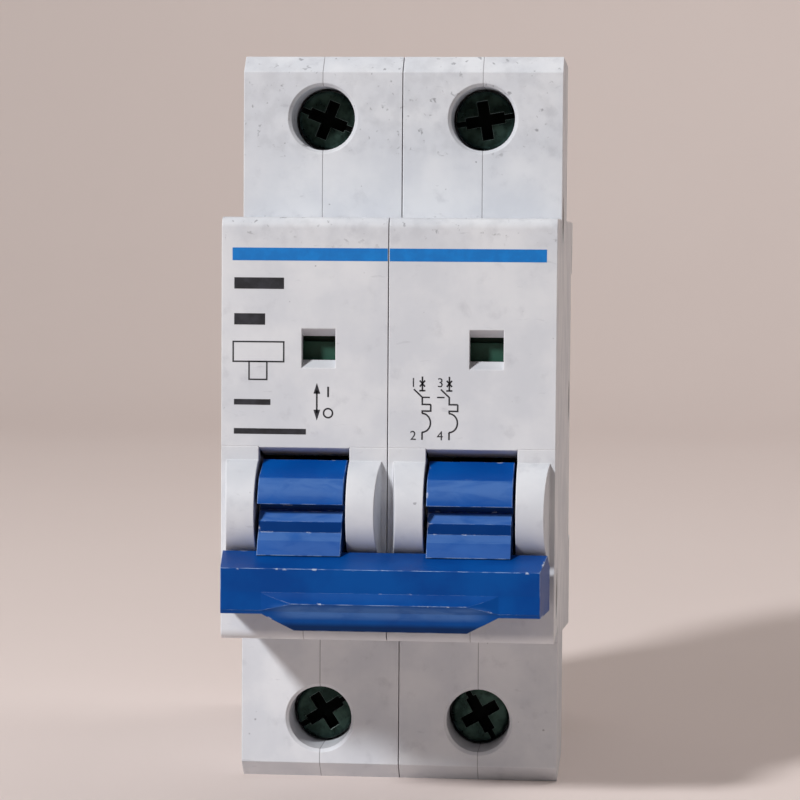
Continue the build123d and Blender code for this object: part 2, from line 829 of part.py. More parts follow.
def trip_lever(x0):
    """Lever on the trip shaft, between the striker, the bimetal and the latch."""
    xs = (x0 + 3.4, x0 + 5.4)
    pivot = (trip_pivot_depth, trip_height)
    with BuildPart() as lever:
        rod_x(2.4, xs, *pivot)
        plate(strip(pivot, (tab_rear + 0.7, coil_height), 1.2), xs)
        block((x0 - 1.5, x0 + 5.4), (tab_rear, tab_rear + 1.4), (coil_height - 1.5, coil_height + 1.5))
        plate(strip(pivot, (trip_pivot_depth + 3.1, trip_height - 6.6), 1.1), xs)
        block(
            (x0 - 7.0, x0 + 5.4),
            (trip_pivot_depth + 2.4, trip_pivot_depth + 3.8),
            (trip_height - 8.0, trip_height - 5.9),
        )
        rod_x(shaft_radius, (x0 - 9, x0 + 9), *pivot, mode=Mode.SUBTRACT)
    return lever


def trip_shaft():
    """Shaft that carries both trip levers, so that one pole trips the other."""
    half = pole_pitch / 2 + cavity_half_width - 0.2
    with BuildPart() as shaft:
        rod_x(shaft_radius, (-half, half), trip_pivot_depth, trip_height)
    return shaft


def bimetal(x0):
    """Bimetal strip standing on the lower strap."""
    foot = lower_strap_foot + strap_bend
    with BuildPart() as blade:
        block((x0 - 7.0, x0 - 3.4), (44.6, 45.4), (foot, trip_height - 5.0))
        block((x0 - 7.0, x0 - 3.4), (42.8, 45.4), (foot, foot + 0.9))
    return blade


def braid(x0):
    """Flexible copper braid from the contact arm towards the bimetal."""
    with BuildPart() as lead:
        with BuildLine() as route:
            FilletPolyline(
                (x0 - 2.3, y_at(39.2), arm_height - 8.4),
                (x0 - 3.4, y_at(40.2), arm_height - 13.4),
                (x0 - 4.8, y_at(42.6), arm_height - 16.6),
                (x0 - 5.2, y_at(44.5), arm_height - 17.6),
                radius=[2.2, 1.4],
            )
        line = route.line
        with BuildSketch(Plane(origin=line @ 0, z_dir=line % 0)) as section:
            Circle(0.8)
        sweep(section.sketch, path=line)
        # Trim where the braid meets the bimetal
        block((x0 - 9, x0), (44.6, 48.0), (arm_height - 20, arm_height - 14), mode=Mode.SUBTRACT)
    return lead


def upper_strap(x0):
    """Copper strap from the upper cage to the coil."""
    xs = (x0 - strap_half_width, x0 + strap_half_width)
    top = case_height - screw_inset + cage_half_height
    shelf_heights = (coil_strap_foot, coil_strap_foot + strap_bend)
    with BuildPart() as strap:
        block(xs, (strap_depth, strap_front), (coil_strap_foot, top))
        block((x0 - strap_half_width, x0 + 5.0), (13.0, strap_front), shelf_heights)
    return strap


def lower_strap(x0):
    """Copper strap from the lower cage to the bimetal, with the lower arc horn behind it."""
    xs = (x0 - strap_half_width, x0 + strap_half_width)
    top = lower_strap_foot + strap_bend
    with BuildPart() as strap:
        block(xs, (strap_depth, strap_front), (screw_inset - cage_half_height, top))
        block(xs, (10.0, strap_front), (lower_strap_foot, top))
        block((x0 - 7.0, x0 + strap_half_width), (strap_front, 46.4), (lower_strap_foot, top))
        block((x0 - 2.0, x0 + 2.0), (strap_depth, strap_depth + strap_bend), (lower_strap_foot, top + 9.0))
    return strap


def terminal_cage(x0, height):
    """Steel cage that rises as its screw turns and clamps the wire against the strap."""
    xs = (x0 - cage_half_width, x0 + cage_half_width)
    inner = (x0 - cage_half_width + cage_wall, x0 + cage_half_width - cage_wall)
    heights = (height - cage_half_height, height + cage_half_height)
    with BuildPart() as cage:
        block(xs, (cage_rear, cage_front), heights)
        for edge in cage.edges().filter_by(Axis.Z):
            fillet(edge, 0.6)
        opening_depths = (cage_rear + 1.5, cage_front - 2.0)
        block(inner, opening_depths, (heights[0] - 1, heights[1] + 1), mode=Mode.SUBTRACT)
        rod_y(
            screw_shank_radius + running_fit,
            x0,
            (cage_front - 3, cage_front + 1),
            height,
            mode=Mode.SUBTRACT,
        )
    return cage


def terminal_screw(x0, height, turned):
    """Terminal screw with a combined slot and cross recess, turned to where it happens to stand."""
    seat, face = screw_seat_depth, screw_seat_depth + screw_head_length
    with BuildPart() as screw:
        rod_y(screw_shank_radius, x0, (strap_front + 0.3, seat + 0.5), height)
        rod_y(screw_head_radius, x0, (seat, face), height)
        fillet(screw.edges().filter_by(GeomType.CIRCLE).sort_by(Axis.Y)[0], 0.4)
        with Locations(Location((x0, y_at(face), height), (0, turned, 0))):
            Box(2 * screw_head_radius, 2 * slot_cut_depth, slot_cut_width, mode=Mode.SUBTRACT)
            Box(cross_cut_length, 2 * cross_cut_depth, cross_cut_width, mode=Mode.SUBTRACT)
            Box(cross_cut_width, 2 * cross_cut_depth, cross_cut_length, mode=Mode.SUBTRACT)
    return screw


def flag(x0):
    """Indicator that slides behind the window, with its driving stem."""
    middle = x0 + window_offset
    xs = (middle - flag_half_width, middle + flag_half_width)
    with BuildPart() as slider:
        block(xs, (flag_depth, flag_depth + 1.3), (window_top - 6.8, window_top + 4.6))
        # Groove between the two coloured fields
        block(
            (xs[0] - 1, xs[1] + 1),
            (flag_depth + 0.35, flag_depth + 2),
            (window_top - window_bevel - 0.55, window_top - window_bevel + 0.6),
            mode=Mode.SUBTRACT,
        )
        block((middle - 1, middle + 1), (flag_depth - 11.5, flag_depth), (window_top + 2.2, window_top + 3.8))
    return slider


def rail_clip(x0):
    """Slide at the rear that holds the lower edge of the rail."""
    front = rail_plane_depth - 0.5
    rear = front - clip_thickness
    xs = (x0 - clip_half_width, x0 + clip_half_width)
    hook_rear = rear + 0.6
    with BuildPart() as clip:
        block(xs, (rear, front), (clip_foot, rail_foot))
        # Raised middle that shows between the retaining lips
        block((xs[0] + 1.0, xs[1] - 1.0), (rear - 0.7, rear + 0.1), (clip_foot, rail_foot - 2))
        plate(
            [
                (hook_rear, rail_foot - 0.5),
                (rail_plane_depth - hook_gap, rail_foot - 0.5),
                (rail_plane_depth - hook_gap, rail_foot + hook_reach),
                (rail_plane_depth - hook_gap - 0.5, rail_foot + hook_reach),
                (hook_rear, rail_foot + 0.6),
            ],
            xs,
        )
        # Window for the spring and the stop, and the screwdriver slot
        block(
            (x0 - clip_window_half_width, x0 + clip_window_half_width),
            (rear - 2, front + 1),
            (clip_window_foot, clip_window_top),
            mode=Mode.SUBTRACT,
        )
        # Slot for the screwdriver that pulls the clip down
        slot_heights = (clip_foot + 1.6, clip_foot + 3.2)
        block((x0 - 2.5, x0 + 2.5), (rear - 2, front + 1), slot_heights, mode=Mode.SUBTRACT)
    return clip


def clip_spring(x0):
    """Compression spring in the clip's window, between the case's stop and the clip."""
    foot = clip_stop + clip_stop_height
    wire = 0.28
    turns = 4
    pitch = (clip_window_top - foot - 2 * wire) / turns
    middle = rail_plane_depth - 0.5 - clip_thickness / 2
    with BuildPart() as spring:
        with BuildLine() as route:
            Helix(pitch, pitch * turns, 1.15, center=(x0, y_at(middle), foot + wire))
        line = route.line
        with BuildSketch(Plane(origin=line @ 0, z_dir=line % 0)) as section:
            Circle(wire)
        sweep(section.sketch, path=line, is_frenet=True)
    return spring


def pins(radius, depth, height):
    """One pivot pin in each pole."""
    half = cavity_half_width - 0.05
    with BuildPart() as group:
        for x0 in pole_middles:
            rod_x(radius, (x0 - half, x0 + half), depth, height)
    return group


def rivets():
    """Tubular rivets that hold the halves of both poles together."""
    with BuildPart() as group:
        for depth, height in rivet_places:
            reach = pole_pitch / 2 + half_width - rivet_sink(depth, height)
            rod_x(rivet_radius, (-reach, reach), depth, height)
            for side in (-1, 1):
                rod_x(rivet_head_radius, (side * reach, side * (reach + rivet_head_thickness)), depth, height)
            rod_x(0.9, (-reach - 1, reach + 1), depth, height, mode=Mode.SUBTRACT)
    return group


# Sizes shared by neighbouring pieces
flag_half_width = 3.0
flag_depth = nose_depth - front_wall - 2.6
tab_rear = coil_depth + 12.0
coil_strap_foot = coil_height + 7.4
clip_foot = 1.0
clip_stop_half_width = 1.6
clip_stop_height = 1.4
clip_window_half_width = 1.9
clip_window_foot = clip_foot + 6.0
clip_window_top = clip_window_foot + 12.0
clip_stop = clip_window_foot + clip_travel + 0.4
pole_middles = (-pole_pitch / 2, pole_pitch / 2)

os.makedirs("parts", exist_ok=True)

for number, middle_x in enumerate(pole_middles, start=1):
    pole = f"pole{number}"
    write(case_half(middle_x, -1), f"{pole}_case_left")
    write(case_half(middle_x, 1), f"{pole}_case_right")
    write(front_cover(middle_x), f"{pole}_front_cover")
    write(toggle(middle_x), f"{pole}_toggle")
    write(toggle_spring(middle_x), f"{pole}_toggle_spring")
    write(toggle_link(middle_x), f"{pole}_toggle_link")
    write(contact_arm(middle_x), f"{pole}_contact_arm")
    write(contact_spring(middle_x), f"{pole}_contact_spring")
    write(fixed_contact(middle_x), f"{pole}_fixed_contact")
    write(arc_plates(middle_x), f"{pole}_arc_plates")
    write(arc_frame(middle_x), f"{pole}_arc_frame")
    write(bobbin(middle_x), f"{pole}_bobbin")
    write(coil(middle_x), f"{pole}_coil")
    write(yoke(middle_x), f"{pole}_yoke")
    write(plunger(middle_x), f"{pole}_plunger")
    write(trip_lever(middle_x), f"{pole}_trip_lever")
    write(bimetal(middle_x), f"{pole}_bimetal")
    write(braid(middle_x), f"{pole}_braid")
    write(upper_strap(middle_x), f"{pole}_upper_strap")
    write(lower_strap(middle_x), f"{pole}_lower_strap")
    for place, screw_height in zip(("lower", "upper"), screw_heights):
        write(terminal_cage(middle_x, screw_height), f"{pole}_{place}_cage")
        turned = screw_turns[f"{pole}_{place}"]
        write(terminal_screw(middle_x, screw_height, turned), f"{pole}_{place}_screw")
    write(flag(middle_x), f"{pole}_flag")
    write(rail_clip(middle_x), f"{pole}_rail_clip")
    write(clip_spring(middle_x), f"{pole}_clip_spring")

write(tie_bar(), "tie_bar")
write(trip_shaft(), "trip_shaft")
write(pins(toggle_pin_radius, hinge_depth, hinge_height), "toggle_pins")
write(pins(arm_pin_radius, arm_pivot_depth, arm_height), "arm_pins")
write(rivets(), "case_rivets")
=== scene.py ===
"""Looks of the two-pole circuit breaker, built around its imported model.

Metres, in the row's own frame: +X right, -Y front, +Z up. MM turns the object's millimetres
into metres. Every place on the object is worked out from the boxes of its nodes.
"""

import json
from math import cos, pi, radians, sin

import bpy
from mathutils import Matrix, Vector


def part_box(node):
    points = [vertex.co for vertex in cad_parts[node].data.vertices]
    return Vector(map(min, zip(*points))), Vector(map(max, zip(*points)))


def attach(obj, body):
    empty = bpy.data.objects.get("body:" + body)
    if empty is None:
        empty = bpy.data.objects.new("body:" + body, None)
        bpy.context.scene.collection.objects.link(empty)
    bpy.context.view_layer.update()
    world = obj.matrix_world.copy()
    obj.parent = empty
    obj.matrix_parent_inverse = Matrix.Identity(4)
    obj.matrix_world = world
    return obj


MM = 0.001

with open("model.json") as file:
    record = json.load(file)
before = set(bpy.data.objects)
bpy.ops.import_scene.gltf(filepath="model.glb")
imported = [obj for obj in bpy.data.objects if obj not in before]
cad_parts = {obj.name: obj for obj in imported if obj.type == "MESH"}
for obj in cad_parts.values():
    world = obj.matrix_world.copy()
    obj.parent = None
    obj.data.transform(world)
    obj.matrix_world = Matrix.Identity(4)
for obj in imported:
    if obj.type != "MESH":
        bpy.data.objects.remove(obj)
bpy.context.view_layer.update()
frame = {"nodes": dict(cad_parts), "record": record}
NODES = frame["nodes"]
POLES = ("pole1", "pole2")

# Places taken from the frame
COVERS = {pole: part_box(f"{pole}_front_cover") for pole in POLES}
NOSE_Y = COVERS["pole1"][0].y
NOSE_TOP = COVERS["pole1"][1].z
MIDDLE = {pole: (COVERS[pole][0].x + COVERS[pole][1].x) / 2 for pole in POLES}
TOGGLE_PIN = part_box("toggle_pins")
HINGE_Z = (TOGGLE_PIN[0].z + TOGGLE_PIN[1].z) / 2
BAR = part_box("tie_bar")
CASE_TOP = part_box("pole1_case_left")[1].z


# ---------------------------------------------------------------- node building

EDGE_SAMPLES = 6  # of the node that finds edges


class Nodes:
    """A short way to build one material's node tree."""

    def __init__(self, name):
        self.material = bpy.data.materials.new(name)
        self.material.use_nodes = True
        self.tree = self.material.node_tree
        self.tree.nodes.clear()
        self.output = self.tree.nodes.new("ShaderNodeOutputMaterial")
        self.shader = self.tree.nodes.new("ShaderNodeBsdfPrincipled")
        self.tree.links.new(self.shader.outputs["BSDF"], self.output.inputs["Surface"])
        self.place = self.tree.nodes.new("ShaderNodeTexCoord").outputs["Object"]

    def put(self, value, socket):
        """Feed a socket with a number, a colour or another node's output."""
        if isinstance(value, bpy.types.NodeSocket):
            self.tree.links.new(value, socket)
        elif isinstance(value, (tuple, list)) and len(value) == 3 and len(socket.default_value) == 4:
            socket.default_value = (*value, 1.0)
        else:
            socket.default_value = value

    def maths(self, operation, *values, clamp=False):
        """One step of arithmetic on numbers and other nodes' outputs."""
        node = self.tree.nodes.new("ShaderNodeMath")
        node.operation = operation
        node.use_clamp = clamp
        for value, socket in zip(values, node.inputs):
            self.put(value, socket)
        return node.outputs[0]

    def times(self, *values):
        """The product of two or more values."""
        product = values[0]
        for value in values[1:]:
            product = self.maths("MULTIPLY", product, value)
        return product

    def mix(self, amount, low, high):
        """A colour from low, where amount is 0, to high, where it is 1."""
        node = self.tree.nodes.new("ShaderNodeMix")
        node.data_type = "RGBA"
        self.put(amount, node.inputs["Factor"])
        self.put(low, node.inputs[6])
        self.put(high, node.inputs[7])
        return node.outputs[2]

    def ramp(self, value, start, end, low=0.0, high=1.0):
        """A smooth step: low before start, high after end."""
        node = self.tree.nodes.new("ShaderNodeMapRange")
        node.interpolation_type = "SMOOTHSTEP"
        for socket, number in zip(node.inputs[:5], (value, start, end, low, high)):
            self.put(number, socket)
        return node.outputs[0]

    def band(self, value, start, full, fade, end):
        """A soft band: 0 up to start, 1 from full to fade, and 0 again from end."""
        return self.times(self.ramp(value, start, full), self.ramp(value, fade, end, 1.0, 0.0))

    def scaled(self, factors, shift=(0, 0, 0)):
        """The place on the object, stretched along X, Y and Z."""
        node = self.tree.nodes.new("ShaderNodeMapping")
        self.put(self.place, node.inputs["Vector"])
        node.inputs["Scale"].default_value = factors
        node.inputs["Location"].default_value = shift
        return node.outputs[0]

    def noise(
        self, per_metre, detail=3.0, roughness=0.55, stretch=(1, 1, 1), shift=(0, 0, 0), distortion=0.0
    ):
        """Even noise over the object, with about per_metre blotches to the metre."""
        node = self.tree.nodes.new("ShaderNodeTexNoise")
        self.put(self.scaled(stretch, shift), node.inputs["Vector"])
        node.inputs["Scale"].default_value = per_metre
        node.inputs["Detail"].default_value = detail
        node.inputs["Roughness"].default_value = roughness
        node.inputs["Distortion"].default_value = distortion
        return node.outputs["Fac"]

    def axes(self):
        """The X, Y and Z of the place on the object, in metres."""
        node = self.tree.nodes.new("ShaderNodeSeparateXYZ")
        self.put(self.place, node.inputs[0])
        return node.outputs

    def facing(self):
        """The X, Y and Z of the surface's own direction in the object's frame."""
        geometry = self.tree.nodes.new("ShaderNodeTexCoord")
        node = self.tree.nodes.new("ShaderNodeSeparateXYZ")
        self.put(geometry.outputs["Normal"], node.inputs[0])
        return node.outputs

    def edge(self, radius):
        """How far the surface bends within a radius: 0 on a flat face and more along an edge."""
        bevel = self.tree.nodes.new("ShaderNodeBevel")
        bevel.samples = EDGE_SAMPLES
        bevel.inputs["Radius"].default_value = radius
        geometry = self.tree.nodes.new("ShaderNodeNewGeometry")
        dot = self.tree.nodes.new("ShaderNodeVectorMath")
        dot.operation = "DOT_PRODUCT"
        self.put(bevel.outputs[0], dot.inputs[0])
        self.put(geometry.outputs["Normal"], dot.inputs[1])
        return self.maths("SUBTRACT", 1.0, dot.outputs["Value"], clamp=True)

    def bump(self, height, distance, strength=1.0, edge_radius=None):
        """Raise the surface by height times distance, and round the edges if a radius is given."""
        node = self.tree.nodes.new("ShaderNodeBump")
        node.inputs["Strength"].default_value = strength
        node.inputs["Distance"].default_value = distance
        self.put(height, node.inputs["Height"])
        if edge_radius:
            bevel = self.tree.nodes.new("ShaderNodeBevel")
            bevel.samples = EDGE_SAMPLES
            bevel.inputs["Radius"].default_value = edge_radius
            self.put(bevel.outputs[0], node.inputs["Normal"])
        self.put(node.outputs[0], self.shader.inputs["Normal"])

    def finish(self, **inputs):
        """Feed the shader, and give the finished material."""
        names = {
            "colour": "Base Color",
            "rough": "Roughness",
            "metal": "Metallic",
            "specular": "Specular IOR Level",
            "coat": "Coat Weight",
            "coat_rough": "Coat Roughness",
        }
        for key, value in inputs.items():
            self.put(value, self.shader.inputs[names[key]])
        return self.material


def linear(red, green, blue):
    """A linear colour from ordinary 0 to 255 screen values."""
    screen = (red, green, blue)
    return tuple((v / 255 / 12.92) if v < 10 else ((v / 255 + 0.055) / 1.055) ** 2.4 for v in screen)


# ---------------------------------------------------------------- materials


def case_plastic(name, seam_x=None):
    """Moulded light grey plastic: faint mottling, handling marks, and edges made brighter, partly wear and
    partly painted highlight.
    """
    n = Nodes(name)
    x, _, z = n.axes()
    cloud = n.noise(150, detail=4)
    fine = n.noise(2600, detail=2)
    colour = n.mix(n.ramp(cloud, 0.35, 0.68), linear(205, 208, 214), linear(218, 220, 224))
    # Soft grey rubs and a few small dark marks
    rub = n.times(n.ramp(n.noise(420, detail=5, shift=(3, 1, 7)), 0.56, 0.76), 0.30)
    colour = n.mix(rub, colour, linear(165, 167, 175))
    drift = n.noise(260, detail=5, stretch=(1, 1, 3.5), shift=(9, 2, 4), distortion=0.6)
    streak = n.ramp(drift, 0.66, 0.74)
    colour = n.mix(n.times(streak, 0.25), colour, linear(150, 152, 160))
    speck = n.ramp(n.noise(950, detail=2, shift=(5, 5, 5)), 0.755, 0.79)
    colour = n.mix(n.times(speck, 0.5), colour, linear(95, 95, 102))
    # Dirt caught along the upper edges
    under_nose_top = n.ramp(z, NOSE_TOP - 4.5 * MM, NOSE_TOP - 0.4 * MM)
    under_case_top = n.times(n.ramp(z, CASE_TOP - 7 * MM, CASE_TOP - 0.5 * MM), 0.8)
    nose = n.ramp(z, NOSE_TOP + 0.5 * MM, NOSE_TOP, 0.0, 1.0)
    shoulder = n.ramp(z, NOSE_TOP + 6 * MM, NOSE_TOP + 8 * MM)
    below_edge = n.times(
        n.maths("MAXIMUM", under_nose_top, under_case_top),
        n.maths("MAXIMUM", nose, shoulder),
    )
    dirt = n.ramp(n.noise(1150, detail=3, shift=(2, 6, 8), distortion=0.4), 0.62, 0.72)
    colour = n.mix(n.times(dirt, below_edge, 0.55), colour, linear(88, 88, 94))
    haze = n.times(n.ramp(n.noise(500, detail=4, shift=(7, 1, 5)), 0.42, 0.66), below_edge)
    colour = n.mix(n.times(haze, 0.18), colour, linear(150, 151, 158))
    # Edges made paler: partly wear, partly a painted highlight along the edges
    worn_and_highlit = n.ramp(n.times(n.edge(0.28 * MM), n.ramp(cloud, 0.3, 0.6, 0.55, 1.0)), 0.02, 0.16)
    colour = n.mix(n.times(worn_and_highlit, 0.7), colour, linear(238, 239, 243))
    if seam_x is not None:
        # The parting line between the two half-shells collects dirt
        away = n.maths("ABSOLUTE", n.maths("SUBTRACT", x, seam_x))
        seam = n.ramp(away, 0.03 * MM, 0.075 * MM, 0.6, 0.0)
        colour = n.mix(seam, colour, linear(110, 110, 116))
    height = n.maths("ADD", n.times(fine, 0.35), n.times(cloud, 0.4))
    n.bump(height, 0.05 * MM, 0.35, 0.16 * MM)
    rough = n.ramp(cloud, 0.3, 0.7, 0.50, 0.38)
    return n.finish(colour=colour, rough=rough, specular=0.45)


def drum_colour(n, z, facing, cloud):
    """Blue of the toggles, with painted shade on the step below the ledge; pale where fingers rubbed the
    drum and grip, and a painted highlight on the ledges.
    """
    colour = n.mix(n.ramp(cloud, 0.35, 0.7), linear(0, 70, 150), linear(0, 80, 162))
    # Painted shade: the upright step below the ledge, which faces away from the light, is painted darker
    step_shade = n.times(
        n.band(z, HINGE_Z - 2.6 * MM, HINGE_Z - 2.4 * MM, HINGE_Z - 1.1 * MM, HINGE_Z - 0.9 * MM),
        n.ramp(facing[2], 0.3, 0.45, 1.0, 0.0),
    )
    colour = n.mix(n.times(step_shade, 0.75), colour, linear(0, 42, 98))
    drum = n.band(z, HINGE_Z + 0.6 * MM, HINGE_Z + 2.6 * MM, HINGE_Z + 3.45 * MM, HINGE_Z + 3.6 * MM)
    # Painted highlight: the upward-facing ledges are made pale as if lit from above
    lit_ledges = n.times(n.ramp(facing[2], 0.45, 0.6), n.ramp(z, HINGE_Z + 0.9 * MM, HINGE_Z + 0.6 * MM))
    grip = n.ramp(z, HINGE_Z - 2.5 * MM, HINGE_Z - 2.9 * MM, 0.0, 0.5)
    return colour, n.maths("MAXIMUM", n.maths("MAXIMUM", drum, lit_ledges), grip)


def lip_colour(n, x, z, facing, cloud):
    """Blue of the tie bar, with painted shade under the lip and a painted highlight band along the middle
    of the lip.
    """
    colour = n.mix(n.ramp(cloud, 0.35, 0.7), linear(0, 62, 136), linear(0, 74, 150))
    foot = BAR[0].z
    # Painted highlight: a pale band along the middle of the lip, where its fillet catches the light
    along = n.ramp(n.maths("ABSOLUTE", x), 9.0 * MM, 11.8 * MM, 1.0, 0.0)
    upright = n.band(z, foot + 1.1 * MM, foot + 1.8 * MM, foot + 2.5 * MM, foot + 3.1 * MM)
    # Painted shade on the lip's downward-facing underside
    underside_shade = n.times(
        n.ramp(z, foot + 0.4 * MM, foot + 1.1 * MM, 1.0, 0.0),
        n.ramp(facing[2], -0.15, -0.4),
    )
    colour = n.mix(n.times(underside_shade, 0.8), colour, linear(2, 26, 60))
    return colour, n.times(along, upright, n.ramp(facing[1], -0.1, -0.3))


def blue_plastic(name, on_bar):
    """Blue handle plastic, made pale by finger rubbing and by painted highlights: on the tie bar's lip, or
    on the toggle.
    """
    n = Nodes(name)
    x, _, z = n.axes()
    facing = n.facing()
    cloud = n.noise(180, detail=4)
    fine = n.noise(3000, detail=2)
    scratch = n.noise(900, detail=4, stretch=(0.35, 1, 1), shift=(2, 8, 1), distortion=0.8)
    if on_bar:
        colour, rub_and_highlight_area = lip_colour(n, x, z, facing, cloud)
    else:
        colour, rub_and_highlight_area = drum_colour(n, z, facing, cloud)
    # Pale where fingers rubbed and where a painted highlight falls
    rub_and_highlight = n.times(rub_and_highlight_area, n.ramp(scratch, 0.25, 0.62, 0.45, 1.0))
    colour = n.mix(n.times(rub_and_highlight, 0.62), colour, linear(84, 124, 184))
    # Edges painted as a pale line, partly wear and partly painted highlight, broken by small nicks
    broken = n.ramp(n.noise(700, detail=3), 0.42, 0.58, 0.12, 0.9)
    edge = n.times(n.ramp(n.edge(0.16 * MM), 0.03, 0.12), broken)
    colour = n.mix(edge, colour, linear(165, 190, 228))
    chips = n.ramp(n.noise(620, detail=1, shift=(4, 4, 9)), 0.635, 0.675)
    nick = n.times(n.ramp(n.edge(0.4 * MM), 0.03, 0.08), chips)
    colour = n.mix(nick, colour, linear(205, 215, 232))
    height = n.maths("ADD", n.times(fine, 0.3), n.times(scratch, rub_and_highlight_area, 0.8))
    n.bump(height, 0.05 * MM, 0.4, 0.14 * MM)
    rough = n.maths("ADD", n.ramp(cloud, 0.3, 0.7, 0.34, 0.44), n.times(rub_and_highlight, 0.2))
    return n.finish(colour=colour, rough=rough, specular=0.12)


FLAG_RED_HEIGHT = 4.55 * MM


def flag_paint():
    """Indicator: red above the groove and dark green below, with a paler moulded edge."""
    n = Nodes("flag_paint")
    z = n.axes()[2]
    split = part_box("pole1_flag")[1].z - FLAG_RED_HEIGHT
    cloud = n.noise(500, detail=3)
    green = n.mix(cloud, linear(16, 62, 50), linear(34, 88, 70))
    red = n.mix(cloud, linear(150, 18, 20), linear(188, 32, 30))
    colour = n.mix(n.ramp(z, split - 0.05 * MM, split + 0.05 * MM), green, red)
    line = n.maths("MULTIPLY", n.edge(0.15 * MM), 1.2, clamp=True)
    colour = n.mix(n.times(line, 0.5), colour, linear(90, 130, 112))
    n.bump(n.noise(2400, detail=2), 0.03 * MM, 0.3, 0.1 * MM)
    return n.finish(colour=colour, rough=0.5)


def metal(name, dark, light, rough, brush=(1, 1, 1), tarnish=0.25):
    """Metal with drawn or rolled grain, tarnish and brighter edges."""
    n = Nodes(name)
    cloud = n.noise(230, detail=5, shift=(1, 6, 3))
    grain = n.noise(1500, detail=3, stretch=brush)
    colour = n.mix(n.ramp(cloud, 0.3, 0.7), dark, light)
    stain = n.times(n.ramp(n.noise(520, detail=4, shift=(7, 7, 1)), 0.52, 0.75), tarnish)
    colour = n.mix(stain, colour, tuple(c * 0.35 for c in dark))
    bright = n.times(n.ramp(n.edge(0.12 * MM), 0.03, 0.15), 0.5)
    colour = n.mix(bright, colour, tuple(min(1, c * 1.5) for c in light))
    n.bump(grain, 0.03 * MM, 0.5, 0.08 * MM)
    grime = n.maths("ADD", grain, n.times(cloud, 0.5))
    spread = n.ramp(grime, 0.5, 1.0, rough - 0.08, rough + 0.14)
    return n.finish(colour=colour, rough=spread, metal=1.0)


def screw_finish():
    """Blackened screw: glossy greenish head, with painted shade making the cross and the slot black."""
    n = Nodes("screw_black")
    y = n.axes()[1]
    cloud = n.noise(420, detail=4, shift=(2, 3, 3))
    grain = n.noise(1700, detail=3, shift=(6, 1, 4))
    colour = n.mix(n.ramp(cloud, 0.38, 0.66), linear(26, 42, 38), linear(58, 80, 73))
    colour = n.mix(n.times(n.ramp(grain, 0.55, 0.72), 0.5), colour, linear(16, 20, 20))
    bright = n.times(n.ramp(n.edge(0.14 * MM), 0.03, 0.14), 0.55)
    colour = n.mix(bright, colour, linear(150, 165, 160))
    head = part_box("pole1_upper_screw")[0].y
    # Painted shade: black deeper in the cross and the slot
    pit_shade = n.ramp(y, head + 0.12 * MM, head + 0.45 * MM)
    colour = n.mix(n.times(pit_shade, 0.93), colour, linear(5, 6, 6))
    n.bump(n.maths("ADD", grain, cloud), 0.04 * MM, 0.5, 0.1 * MM)
    rough = n.maths("ADD", n.ramp(cloud, 0.3, 0.7, 0.24, 0.38), n.times(pit_shade, 0.35))
    return n.finish(colour=colour, rough=rough, metal=0.85, specular=0.4)


def moulded(name, dark, light):
    """A plainly moulded inner part."""
    n = Nodes(name)
    cloud = n.noise(200, detail=4)
    colour = n.mix(n.ramp(cloud, 0.3, 0.7), dark, light)
    marks = n.times(n.ramp(n.noise(700, detail=3, shift=(2, 2, 8)), 0.58, 0.74), 0.3)
    colour = n.mix(marks, colour, tuple(c * 0.6 for c in dark))
    n.bump(n.noise(2500, detail=2), 0.04 * MM, 0.4, 0.12 * MM)
    return n.finish(colour=colour, rough=n.ramp(cloud, 0.3, 0.7, 0.56, 0.44))


def fibre_board():
    """Vulcanised fibre, with its pressed grain."""
    n = Nodes("fibre_board")
    grain = n.noise(700, detail=6, stretch=(1, 0.25, 1), roughness=0.7)
    colour = n.mix(n.ramp(grain, 0.3, 0.7), linear(150, 118, 82), linear(184, 152, 112))
    n.bump(grain, 0.06 * MM, 0.6, 0.08 * MM)
    return n.finish(colour=colour, rough=0.78)


STRAND_SPACING = 0.42 * MM


def braided_copper():
    """Fine crossing strands, from two slanting waves."""
    n = Nodes("braided_copper")
    x, y, z = n.axes()
    waves = 2 * pi / STRAND_SPACING
    sideways = n.maths("ADD", x, y)
    one = n.maths("SINE", n.times(n.maths("ADD", z, sideways), waves))
    two = n.maths("SINE", n.times(n.maths("SUBTRACT", z, sideways), waves))
    weave = n.maths("MAXIMUM", one, two)
    colour = n.mix(n.ramp(weave, -0.2, 1.0), linear(92, 48, 28), linear(206, 134, 96))
    n.bump(weave, 0.08 * MM, 0.8)
    return n.finish(colour=colour, rough=0.42, metal=1.0)


def enamelled_wire():
    """Varnished copper wire."""
    n = Nodes("enamelled_wire")
    cloud = n.noise(300, detail=3)
    colour = n.mix(cloud, linear(120, 52, 24), linear(168, 84, 40))
    n.bump(n.noise(1800, detail=2), 0.02 * MM, 0.3)
    rough = n.ramp(cloud, 0.3, 0.7, 0.26, 0.36)
    return n.finish(colour=colour, rough=rough, metal=0.85, coat=0.5, coat_rough=0.15)


def print_ink(name, dark, light):
    """Screen-printed ink, slightly uneven."""
    n = Nodes(name)
    colour = n.mix(n.ramp(n.noise(900, detail=4), 0.35, 0.7), dark, light)
    n.bump(n.noise(3200, detail=2), 0.02 * MM, 0.3)
    return n.finish(colour=colour, rough=0.42)


def floor_surface():
    """Pale matt tabletop."""
    n = Nodes("floor_surface")
    y = n.axes()[1]
    colour = n.mix(n.noise(6, detail=3), linear(222, 209, 204), linear(227, 215, 210))
    # The part nearest the viewer is darker
    colour = n.mix(n.ramp(y, -0.22, -0.06, 1.0, 0.0), colour, linear(150, 126, 108))
    n.bump(n.noise(900, detail=3), 0.05 * MM, 0.15)
    return n.finish(colour=colour, rough=0.7, specular=0.25)


